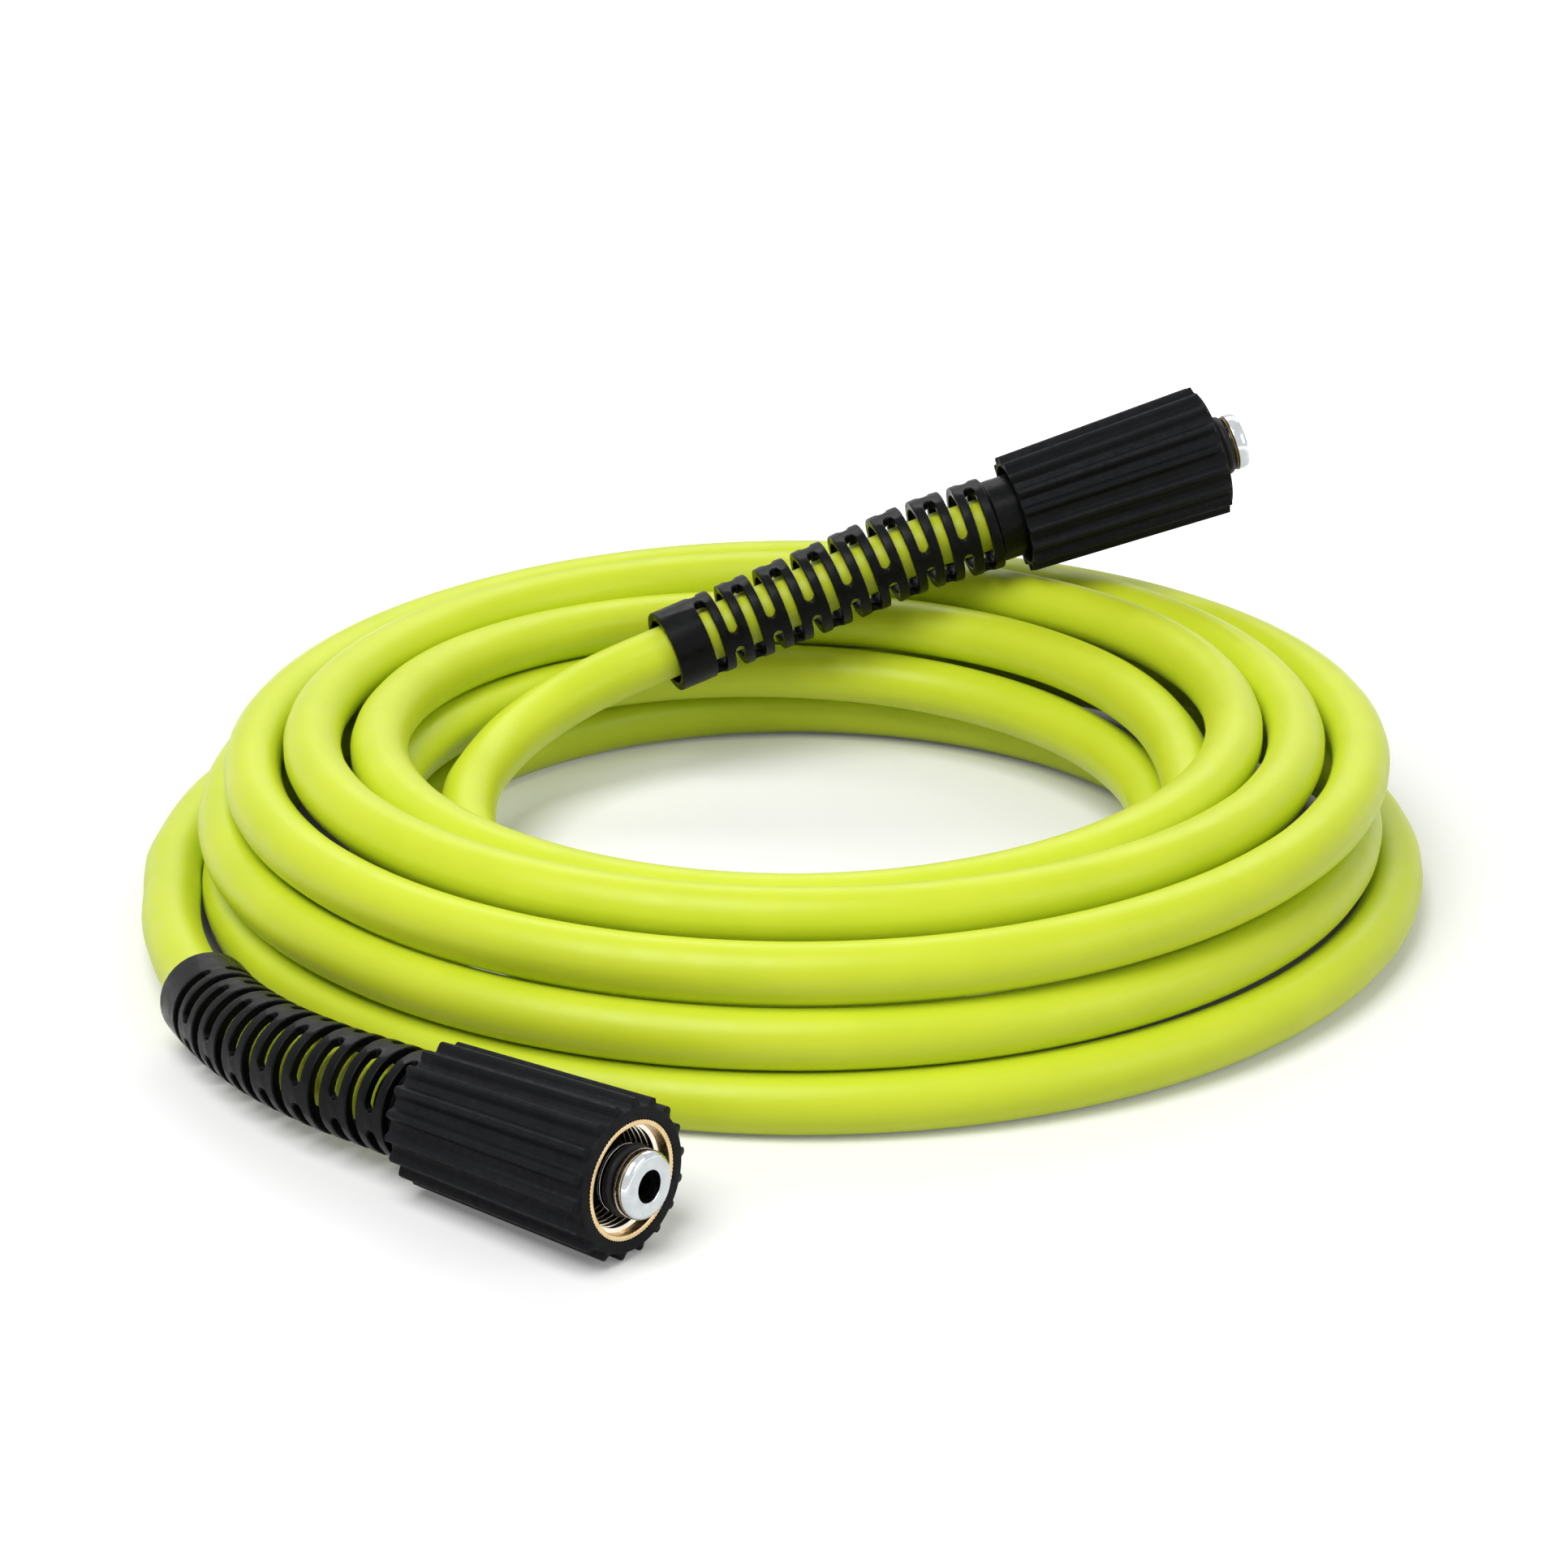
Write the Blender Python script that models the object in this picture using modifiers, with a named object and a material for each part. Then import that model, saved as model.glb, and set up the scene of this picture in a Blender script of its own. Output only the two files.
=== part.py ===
"""Coiled high-pressure washer hose with a swivel screw coupling on each end.

One lime hose lies in eight loose turns. Each end carries a slotted bend restrictor, a crimped
ferrule, a plated nipple with its seal, and a brass nut in a ribbed grip that spins and slides.
"""

import math

import bmesh
import bpy
import numpy as np
from mathutils import Matrix, Vector

MM = 0.001

# Hose
HOSE_D = 13.2
HOSE_BORE_D = 8.4
FLOOR_FLAT = HOSE_D / 10
TURN_GAP = 1.3
POINTS_PER_TURN = 24
STRETCH_SAMPLES = 8
SETTLE_STEPS = 400
SETTLE_SHARE = 0.4

# Where each turn lies in the bundle, as (radius, height of its middle) in mm, at the coil's
# left, back, right and front. The first turn is the outer one, which runs to the front coupling.
TURNS = (
    ((143.5, 6.6), (135.5, 6.6), (138, 6.6), (136, 6.6)),
    ((129.5, 6.6), (125, 17), (128.5, 20.4), (130.5, 19.3)),
    ((131, 20.8), (132, 30), (130, 34.4), (125.5, 33.6)),
    ((123.5, 37), (119, 37), (114.5, 38), (112, 38.5)),
    ((109.5, 39), (105, 40.5), (101, 41.5), (98, 35.5)),
    ((95.5, 36), (94, 31.5), (90, 29), (115, 7)),
    ((97, 6.6), (96, 7), (97, 7), (95, 9)),
    ((94, 22), (86, 20), (84, 15.5), (81, 15)),
    ((75.5, 20), (66, 30)),
)

# Couplings: the middle of the nose's end face and a point further back on the same axis, in mm
COUPLING_ENDS = {
    "front": ((-28.2, -191.8, 16.7), (-68.1, -159.1, 15.2)),
    "rear": ((111, 99.5, 76.5), (46, 85, 58.7)),
}
# Middles of the two free stretches, from the coil to the coupling's straight part, in mm
LEAD_ROUTES = {
    "front": (
        (-141.8, -26, 7),
        (-138.8, -48, 8.2),
        (-132.4, -73, 9.8),
        (-122, -100, 11.6),
        (-109.5, -120.5, 12.9),
    ),
    "rear": (
        (-73.3, 19.5, 19.8),
        (-65.2, 37.8, 23),
        (-50, 53.5, 28),
        (-25.5, 65, 35.4),
        (2.5, 73.8, 44.6),
    ),
}

# Nipple, measured back from its nose along the coupling's axis
NOSE_D = 14.0
NOSE_LAND = 3.6
NOSE_CHAMFER = 0.6
SEAL_GROOVE_D = 9.4
SEAL_GROOVE = 3.2
SHANK_D = 13.2
FLANGE_D = 18.0
FLANGE_FRONT = 24.0
FLANGE_BACK = 27.5
NECK_D = 11.0
TAIL_FRONT = 39.0
TAIL_D = 7.6
TAIL_BARB_D = 8.2
TAIL_BARB_PITCH = 5.0
TAIL_BARBS = 4
TAIL_BARB_SHARE = 0.8
TAIL_BACK = 66.0
WATERWAY_D = 5.0
WATERWAY_MOUTH_D = 6.6
WATERWAY_MOUTH = 6.0

# O-ring
SEAL_CORD_D = 2.4
SEAL_MIDDLE_D = 12.4

# Brass nut, measured back from its rim, and the slip washer ahead of its web
NUT_D = 24.4
NUT_BORE_D = 20.4
NUT_RIM_D = 22.6
NUT_RIM = 1.2
NUT_LENGTH = 28.0
NUT_WEB = 3.0
NUT_WEB_HOLE_D = 12.0
WASHER_D = 17.6
WASHER_HOLE_D = 12.0
WASHER_THICK = 1.1

# Ribbed grip over the nut, measured back from the nut's rim
GRIP_LENGTH = 52.0
GRIP_FRONT_D = 33.0
GRIP_REAR_D = 29.6
GRIP_RIBS = 18
GRIP_RIB_HEIGHT = 1.3
GRIP_RIB_FRONT = 3.0
GRIP_EDGE = 1.0
GRIP_WALL_BORE_D = 25.0
GRIP_SHOULDER_D = 23.8
GRIP_SHOULDER = 3.0

# How far each nut's rim sits behind the end of its nose at rest
NUT_SET_BACK = {"front": 4.6, "rear": 8.0}

# Crimped ferrule over the hose end
FERRULE_FRONT = 39.4
FERRULE_BACK = 66.4
FERRULE_D = 16.0
FERRULE_BORE_D = 13.9
FERRULE_FACE = 1.9
FERRULE_FACE_HOLE_D = 8.3
FERRULE_CRIMPS = 3
FERRULE_CRIMP_DEPTH = 0.35

# Slotted bend restrictor: plain front collar, rings with staggered bridges, solid rear ring
RESTRICTOR_WALL = 1.9
RESTRICTOR_COLLAR_D = 20.4
RESTRICTOR_FRONT_D = 23.0
RESTRICTOR_REAR_D = 20.4
RESTRICTOR_RINGS = 14
RESTRICTOR_RING = 2.9
RESTRICTOR_SLOT = 2.3
RESTRICTOR_REAR = 9.6
RESTRICTOR_STEP = 0.4
RESTRICTOR_SIDES = 16
RESTRICTOR_FIRST_SLOT_ROW = 3
# Where the collar starts and the first slot begins, behind the nose
RESTRICTOR_PLACE = {"front": (43.0, 58.0), "rear": (45.0, 69.0)}

TOUCH_GAP = 0.3
ROUND_SIDES = 32
SMALL_ROUND_SIDES = 24
SEAL_CORD_SIDES = 8
COIL_BEVEL = 1
LEAD_BEVEL = 2
MERGE = 0.00001


def clear_scene():
    for old in list(bpy.data.objects):
        bpy.data.objects.remove(old, do_unlink=True)


def new_collection(name):
    made = bpy.data.collections.new(name)
    bpy.context.scene.collection.children.link(made)
    return made


def material(name, colour, roughness, metallic=0.0):
    made = bpy.data.materials.new(name)
    made.use_nodes = True
    shader = made.node_tree.nodes["Principled BSDF"]
    shader.inputs["Base Color"].default_value = (*colour, 1.0)
    shader.inputs["Roughness"].default_value = roughness
    shader.inputs["Metallic"].default_value = metallic
    return made


def smooth_through(points, samples):
    """A smooth curve through the points, as an array with so many samples to each stretch."""
    ends = [2 * points[0] - points[1], *points, 2 * points[-1] - points[-2]]
    share = np.linspace(0, 1, samples, endpoint=False)[:, None]
    curve = []
    for before, start, end, after in zip(ends, ends[1:], ends[2:], ends[3:]):
        tangent_in = (end - before) / 2
        tangent_out = (after - start) / 2
        rise = 3 * share**2 - 2 * share**3
        curve.append(
            start * (1 - rise)
            + end * rise
            + tangent_in * (share**3 - 2 * share**2 + share)
            + tangent_out * (share**3 - share**2)
        )
    return np.vstack([*curve, points[-1]])


def settle(places):
    """Moves turns apart where they press into each other, at each angle round the coil."""
    places = places.copy()
    pitch = HOSE_D + TURN_GAP
    for _ in range(SETTLE_STEPS):
        shift = np.zeros_like(places)
        for turns_apart in range(1, len(TURNS)):
            step = turns_apart * POINTS_PER_TURN
            apart = places[step:] - places[:-step]
            distance = np.linalg.norm(apart, axis=1)[:, None]
            push = np.maximum(0, pitch - distance) * apart / np.maximum(distance, 0.1)
            shift[step:] += push
            shift[:-step] -= push
        spread = shift.copy()
        spread[1:-1] = (shift[:-2] + 2 * shift[1:-1] + shift[2:]) / 4
        places += SETTLE_SHARE * spread
        places[:, 1] = np.maximum(places[:, 1], HOSE_D / 2)
    return places


def coil_route():
    """The middle of the coiled stretch: clockwise from above, from the left of the first turn."""
    stations = np.array([place for turn in TURNS for place in turn], float)
    places = settle(smooth_through(stations, POINTS_PER_TURN // 4))
    places = places[: (len(TURNS) - 1) * POINTS_PER_TURN + 1]
    angle = np.arange(len(places)) * 2 * math.pi / POINTS_PER_TURN
    return np.stack(
        [-places[:, 0] * np.cos(angle), places[:, 0] * np.sin(angle), places[:, 1] - FLOOR_FLAT], axis=1
    )


def least_gap_to_itself(route):
    """The clear distance between stretches of the route that lie a turn or so apart, in mm."""
    fine = smooth_through(route, 4)
    near = POINTS_PER_TURN * 2
    least = math.inf
    for index in range(len(fine) - near):
        least = min(least, np.linalg.norm(fine[index + near :] - fine[index], axis=1).min())
    return least - HOSE_D


def coupling_axis(end):
    nose, back = (Vector(place) for place in COUPLING_ENDS[end])
    return nose, (nose - back).normalized()


def hose_end():
    """How far behind the nose the hose stops, against the ferrule's face."""
    return FERRULE_FRONT + FERRULE_FACE + TOUCH_GAP


def lead_points(end):
    """Points of a free stretch from the coil outwards, with a straight last part in the ferrule."""
    nose, axis = coupling_axis(end)
    marks = (
        FERRULE_BACK + HOSE_D * 3 / 2,
        FERRULE_BACK + HOSE_D / 2,
        (FERRULE_BACK + hose_end()) / 2,
        hose_end(),
    )
    straight = [np.array(nose - axis * back) for back in marks]
    return [np.array(place, float) for place in LEAD_ROUTES[end]] + straight


def hose_stretches():
    """The hose's middle line as one smooth curve, parted into its coil and its two leads."""
    coil = coil_route()
    front = lead_points("front")
    rear = lead_points("rear")
    whole = smooth_through([*front[::-1], *coil, *rear], STRETCH_SAMPLES)
    first = len(front) * STRETCH_SAMPLES
    last = first + (len(coil) - 1) * STRETCH_SAMPLES
    run_out = whole[last - STRETCH_SAMPLES + 1 : last + 1]
    wound = np.vstack([whole[first : first + STRETCH_SAMPLES], coil[1:-1], run_out])
    return wound, {"front": clear_of_coil(whole[first::-1]), "rear": clear_of_coil(whole[last:])}


def clear_of_coil(route):
    """The lead with its first point drawn back a little from the coil's end."""
    ahead = route[1] - route[0]
    start = route[0] + ahead / np.linalg.norm(ahead) * TOUCH_GAP
    return np.vstack([start, route[1:]])


def along(route, distance):
    """The point and direction at a distance back from the route's last point."""
    back = route[::-1]
    steps = np.linalg.norm(np.diff(back, axis=0), axis=1)
    gone = np.concatenate([[0], np.cumsum(steps)])
    at = np.array([np.interp(distance, gone, back[:, i]) for i in range(3)])
    ahead = np.array([np.interp(max(distance - HOSE_D / 2, 0), gone, back[:, i]) for i in range(3)])
    behind = np.array([np.interp(distance + HOSE_D / 2, gone, back[:, i]) for i in range(3)])
    return Vector(at), Vector(ahead - behind).normalized()


def thinned(route, spacing):
    """The route's points a spacing apart, with both ends kept."""
    gone = np.concatenate([[0], np.cumsum(np.linalg.norm(np.diff(route, axis=0), axis=1))])
    marks = np.linspace(0, gone[-1], max(2, round(gone[-1] / spacing) + 1))
    return np.stack([np.interp(marks, gone, route[:, i]) for i in range(3)], axis=1)


def add_object(name, data, finish, home, parent):
    made = bpy.data.objects.new(name, data)
    data.materials.append(finish)
    home.objects.link(made)
    made.parent = parent
    return made


def tube(name, route, finish, home, parent, resolution):
    """A round tube along a route, made a mesh so that it can be cut."""
    curve = bpy.data.curves.new(name, "CURVE")
    curve.dimensions = "3D"
    curve.bevel_depth = HOSE_D / 2 * MM
    curve.bevel_resolution = resolution
    curve.use_fill_caps = True
    spline = curve.splines.new("POLY")
    spline.points.add(len(route) - 1)
    for point, place in zip(spline.points, route):
        point.co = (*(place * MM), 1.0)
    guide = bpy.data.objects.new(name + "_guide", curve)
    home.objects.link(guide)
    mesh = bpy.data.meshes.new_from_object(guide.evaluated_get(bpy.context.evaluated_depsgraph_get()))
    bpy.data.objects.remove(guide, do_unlink=True)
    shape = bmesh.new()
    shape.from_mesh(mesh)
    bmesh.ops.remove_doubles(shape, verts=shape.verts, dist=MERGE)
    shape.to_mesh(mesh)
    shape.free()
    mesh.shade_smooth()
    return add_object(name, mesh, finish, home, parent)


def cut(piece, cutter):
    boolean = piece.modifiers.new("cut_" + cutter.name, "BOOLEAN")
    boolean.operation = "DIFFERENCE"
    boolean.object = cutter


def as_cutter(cutter):
    cutter.hide_render = True
    cutter.display_type = "WIRE"
    return cutter


def turned(name, profile, finish, home, parent, sides=ROUND_SIDES):
    """A closed outline of (radius, distance behind the nose) in mm, turned about the axis."""
    shape = bmesh.new()
    corners = [shape.verts.new((radius * MM, 0, -back * MM)) for radius, back in profile]
    for first, second in zip(corners, corners[1:] + corners[:1]):
        shape.edges.new((first, second))
    mesh = bpy.data.meshes.new(name)
    shape.to_mesh(mesh)
    shape.free()
    made = add_object(name, mesh, finish, home, parent)
    screw = made.modifiers.new("turn", "SCREW")
    screw.steps = sides
    screw.render_steps = sides
    screw.use_merge_vertices = True
    screw.merge_threshold = MERGE
    screw.use_smooth_shade = True
    return made


def make_nipple(end, finish, home, parent):
    groove_back = NOSE_LAND + SEAL_GROOVE
    profile = [
        (NOSE_D / 2 - NOSE_CHAMFER, 0),
        (NOSE_D / 2, NOSE_CHAMFER),
        (NOSE_D / 2, NOSE_LAND),
        (SEAL_GROOVE_D / 2, NOSE_LAND),
        (SEAL_GROOVE_D / 2, groove_back),
        (SHANK_D / 2, groove_back),
        (SHANK_D / 2, FLANGE_FRONT),
        (FLANGE_D / 2, FLANGE_FRONT),
        (FLANGE_D / 2, FLANGE_BACK),
        (NECK_D / 2, FLANGE_BACK),
        (NECK_D / 2, TAIL_FRONT),
        (TAIL_D / 2, TAIL_FRONT),
    ]
    first_barb = TAIL_BACK - TAIL_BARBS * TAIL_BARB_PITCH
    for barb in range(TAIL_BARBS):
        front = first_barb + barb * TAIL_BARB_PITCH
        profile += [
            (TAIL_D / 2, front),
            (TAIL_BARB_D / 2, front),
            (TAIL_D / 2, front + TAIL_BARB_PITCH * TAIL_BARB_SHARE),
        ]
    profile += [
        (TAIL_D / 2, TAIL_BACK),
        (WATERWAY_D / 2, TAIL_BACK),
        (WATERWAY_D / 2, WATERWAY_MOUTH),
        (WATERWAY_MOUTH_D / 2, WATERWAY_MOUTH),
        (WATERWAY_MOUTH_D / 2, 0),
    ]
    return turned(end + "_nipple", profile, finish, home, parent)


def make_seal(end, finish, home, parent):
    middle = NOSE_LAND + SEAL_GROOVE / 2
    reach = SEAL_CORD_D / 2
    angles = [-step * 2 * math.pi / SEAL_CORD_SIDES for step in range(SEAL_CORD_SIDES)]
    profile = [
        (SEAL_MIDDLE_D / 2 + reach * math.cos(angle), middle - reach * math.sin(angle))
        for angle in angles
    ]
    return turned(end + "_o_ring", profile, finish, home, parent, SMALL_ROUND_SIDES)


def make_washer(end, finish, home, parent):
    back = NUT_SET_BACK[end] + NUT_LENGTH - NUT_WEB - TOUCH_GAP
    front = back - WASHER_THICK
    profile = [
        (WASHER_D / 2, front),
        (WASHER_D / 2, back),
        (WASHER_HOLE_D / 2, back),
        (WASHER_HOLE_D / 2, front),
    ]
    return turned(end + "_slip_washer", profile, finish, home, parent)


def make_nut(end, finish, home, parent):
    rim = NUT_SET_BACK[end]
    web = rim + NUT_LENGTH - NUT_WEB
    profile = [
        (NUT_D / 2, rim),
        (NUT_D / 2, rim + NUT_LENGTH),
        (NUT_WEB_HOLE_D / 2, rim + NUT_LENGTH),
        (NUT_WEB_HOLE_D / 2, web),
        (NUT_BORE_D / 2, web),
        (NUT_BORE_D / 2, rim + NUT_RIM),
        (NUT_RIM_D / 2, rim),
    ]
    return turned(end + "_coupling_nut", profile, finish, home, parent)


def make_ferrule(end, finish, home, parent):
    profile = [(FERRULE_D / 2, FERRULE_FRONT)]
    pitch = (FERRULE_BACK - FERRULE_FRONT) / FERRULE_CRIMPS
    for crimp in range(FERRULE_CRIMPS):
        middle = FERRULE_FRONT + pitch * (crimp + 0.5)
        profile += [
            (FERRULE_D / 2, middle - pitch / 4),
            (FERRULE_D / 2 - FERRULE_CRIMP_DEPTH, middle),
            (FERRULE_D / 2, middle + pitch / 4),
        ]
    profile += [
        (FERRULE_D / 2, FERRULE_BACK),
        (FERRULE_BORE_D / 2, FERRULE_BACK),
        (FERRULE_BORE_D / 2, FERRULE_FRONT + FERRULE_FACE),
        (FERRULE_FACE_HOLE_D / 2, FERRULE_FRONT + FERRULE_FACE),
        (FERRULE_FACE_HOLE_D / 2, FERRULE_FRONT),
    ]
    return turned(end + "_ferrule", profile, finish, home, parent, SMALL_ROUND_SIDES)


def make_grip(end, finish, home, parent, cutters):
    """A tapered sleeve with a plain front band and straight ribs, bored for the nut and the collar."""
    rim = NUT_SET_BACK[end]
    front = GRIP_FRONT_D / 2
    rear = GRIP_REAR_D / 2
    ribs = rim + GRIP_RIB_FRONT
    # Outer radius, distance behind the nose, height of the ribs
    sections = (
        (front - GRIP_RIB_HEIGHT - GRIP_EDGE, rim, 0),
        (front - GRIP_RIB_HEIGHT, rim + GRIP_EDGE, 0),
        (front - GRIP_RIB_HEIGHT, ribs, 0),
        (front, ribs + TOUCH_GAP, GRIP_RIB_HEIGHT),
        (rear, rim + GRIP_LENGTH - GRIP_EDGE / 2, GRIP_RIB_HEIGHT),
        (rear - GRIP_EDGE / 2, rim + GRIP_LENGTH, GRIP_RIB_HEIGHT),
    )
    shape = bmesh.new()
    count = GRIP_RIBS * 4
    ring = bmesh.ops.create_circle(shape, segments=count, radius=1.0)["verts"]
    edges = shape.edges[:]
    for radius, back, rib in sections:
        for vert in ring:
            angle = math.atan2(vert.co.y, vert.co.x)
            on_crest = round(angle / (2 * math.pi / count)) % 4 in (0, 1)
            reach = (radius if on_crest else radius - rib) * MM
            vert.co = (reach * math.cos(angle), reach * math.sin(angle), -back * MM)
        if back == rim + GRIP_LENGTH:
            break
        grown = bmesh.ops.extrude_edge_only(shape, edges=edges)["geom"]
        ring = [item for item in grown if isinstance(item, bmesh.types.BMVert)]
        edges = [item for item in grown if isinstance(item, bmesh.types.BMEdge)]
        edges = [edge for edge in edges if all(vert in ring for vert in edge.verts)]
    bmesh.ops.holes_fill(shape, edges=shape.edges[:], sides=0)
    bmesh.ops.recalc_face_normals(shape, faces=shape.faces[:])
    mesh = bpy.data.meshes.new(end + "_grip")
    shape.to_mesh(mesh)
    shape.free()
    grip = add_object(end + "_grip", mesh, finish, home, parent)
    shoulder = rim + NUT_LENGTH + TOUCH_GAP
    bore = [
        (GRIP_WALL_BORE_D / 2, rim - HOSE_D),
        (GRIP_WALL_BORE_D / 2, shoulder),
        (GRIP_SHOULDER_D / 2, shoulder),
        (GRIP_SHOULDER_D / 2, shoulder + GRIP_SHOULDER),
        (GRIP_WALL_BORE_D / 2, shoulder + GRIP_SHOULDER),
        (GRIP_WALL_BORE_D / 2, rim + GRIP_LENGTH + HOSE_D),
        (0, rim + GRIP_LENGTH + HOSE_D),
        (0, rim - HOSE_D),
    ]
    cut(grip, as_cutter(turned(end + "_grip_bore", bore, finish, cutters, parent)))
    return grip


def restrictor_rows(end):
    """Rows from the collar's front to the rear ring, as (distance behind the nose, diameter)."""
    collar, slots = RESTRICTOR_PLACE[end]
    length = (RESTRICTOR_RINGS + 1) * RESTRICTOR_SLOT + RESTRICTOR_RINGS * RESTRICTOR_RING
    rows = [
        (collar, RESTRICTOR_COLLAR_D),
        (slots - RESTRICTOR_RING - RESTRICTOR_STEP, RESTRICTOR_COLLAR_D),
        (slots - RESTRICTOR_RING, RESTRICTOR_FRONT_D),
    ]
    back = slots
    for width in (RESTRICTOR_SLOT, RESTRICTOR_RING) * (RESTRICTOR_RINGS + 1):
        taper = (RESTRICTOR_REAR_D - RESTRICTOR_FRONT_D) * (back - slots) / length
        rows.append((back, RESTRICTOR_FRONT_D + taper))
        back += width
    rows.append((slots + length + RESTRICTOR_REAR, RESTRICTOR_REAR_D))
    return rows


def is_slot(row, side):
    """Whether this cell of the sleeve is open: slots alternate with rings, bridges by quarters."""
    number = row - RESTRICTOR_FIRST_SLOT_ROW
    if number < 0 or number % 2 or number // 2 > RESTRICTOR_RINGS:
        return False
    bridge = RESTRICTOR_SIDES // 4 * ((number // 2 + 1) % 2)
    return (side - bridge) % (RESTRICTOR_SIDES // 2) != 0


def make_restrictor(end, route, finish, home, parent):
    """A grid rolled into a sleeve round the hose's route, with its slots taken out, then thickened."""
    rows = restrictor_rows(end)
    shape = bmesh.new()
    bmesh.ops.create_grid(shape, x_segments=RESTRICTOR_SIDES, y_segments=len(rows) - 1, size=1.0)
    frames = []
    for back, diameter in rows:
        middle, axis = along(route, back - hose_end())
        side = axis.cross(Vector((0, 0, 1))).normalized()
        frames.append((middle, side, side.cross(axis), diameter / 2))
    open_faces = []
    for face in shape.faces:
        centre = face.calc_center_median()
        side = int((centre.x + 1) / 2 * RESTRICTOR_SIDES)
        row = int((centre.y + 1) / 2 * (len(rows) - 1))
        if is_slot(row, side):
            open_faces.append(face)
    for vert in shape.verts:
        row = round((vert.co.y + 1) / 2 * (len(rows) - 1))
        angle = (vert.co.x + 1) * math.pi - math.pi / RESTRICTOR_SIDES
        middle, side, up, radius = frames[row]
        vert.co = (middle + radius * (math.cos(angle) * side + math.sin(angle) * up)) * MM
    bmesh.ops.delete(shape, geom=open_faces, context="FACES")
    bmesh.ops.remove_doubles(shape, verts=shape.verts[:], dist=MERGE)
    bmesh.ops.recalc_face_normals(shape, faces=shape.faces[:])
    mesh = bpy.data.meshes.new(end + "_bend_restrictor")
    shape.to_mesh(mesh)
    shape.free()
    sleeve = add_object(end + "_bend_restrictor", mesh, finish, home, parent)
    wall = sleeve.modifiers.new("wall", "SOLIDIFY")
    wall.thickness = RESTRICTOR_WALL * MM
    wall.offset = -1.0
    wall.use_even_offset = True
    return sleeve


def new_empty(name, home, parent):
    made = bpy.data.objects.new(name, None)
    home.objects.link(made)
    made.parent = parent
    return made


def coupling_frame(end, home, parent):
    """An empty at the middle of the nose's end face, with +Z out along the swivel's axis."""
    nose, axis = coupling_axis(end)
    made = new_empty(end + "_swivel_axis", home, parent)
    side = axis.cross(Vector((0, 0, 1))).normalized()
    turn = Matrix((side, axis.cross(side), axis)).transposed()
    made.matrix_local = Matrix.Translation(nose * MM) @ turn.to_4x4()
    return made


def floor_cutter(home, parent):
    """A slab under the floor that flattens the lowest turns where the coil stands."""
    bpy.ops.mesh.primitive_cube_add(size=1.0)
    slab = bpy.context.object
    slab.name = "floor_slab"
    for collection in list(slab.users_collection):
        collection.objects.unlink(slab)
    home.objects.link(slab)
    slab.parent = parent
    reach = 4 * TURNS[0][0][0] * MM
    slab.data.transform(Matrix.Diagonal((reach, reach, HOSE_D * MM, 1.0)))
    slab.data.transform(Matrix.Translation((0, 0, -HOSE_D * MM / 2)))
    return as_cutter(slab)


def make_hose_lead(end, route, finish, home, parent, cutters, frame):
    bent = thinned(route[STRETCH_SAMPLES // 2 : -STRETCH_SAMPLES], 2 * HOSE_D)
    middle = np.vstack([route[:2], bent, route[-1:]])
    lead = tube(end + "_hose_lead", middle, finish, home, parent, LEAD_BEVEL)
    bore = [
        (HOSE_BORE_D / 2, FERRULE_FRONT),
        (HOSE_BORE_D / 2, TAIL_BACK + TOUCH_GAP),
        (0, TAIL_BACK + TOUCH_GAP),
        (0, FERRULE_FRONT),
    ]
    cut(lead, as_cutter(turned(end + "_hose_bore", bore, finish, cutters, frame, RESTRICTOR_SIDES)))
    return lead


def centre_over_floor(root, home):
    """Moves the assembly so that the middle of its outline is over the origin."""
    bpy.context.view_layer.update()
    graph = bpy.context.evaluated_depsgraph_get()
    corners = []
    for piece in home.objects:
        if piece.type == "MESH":
            shown = piece.evaluated_get(graph)
            corners += [shown.matrix_world @ vert.co for vert in shown.data.vertices]
    spans = np.array(corners)
    low, high = spans.min(axis=0), spans.max(axis=0)
    root.location = (-(low[0] + high[0]) / 2, -(low[1] + high[1]) / 2, -low[2])
    bpy.context.view_layer.update()


def report_places(frames, routes):
    for name, route in routes.items():
        print(name, "length %.1f mm" % np.linalg.norm(np.diff(route, axis=0), axis=1).sum())
    for end, frame in frames.items():
        place = frame.matrix_world
        for name, value in (("nose", place.translation), ("axis", place.col[2][:3])):
            print(end, name, " ".join("%.6f" % number for number in value))


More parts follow.
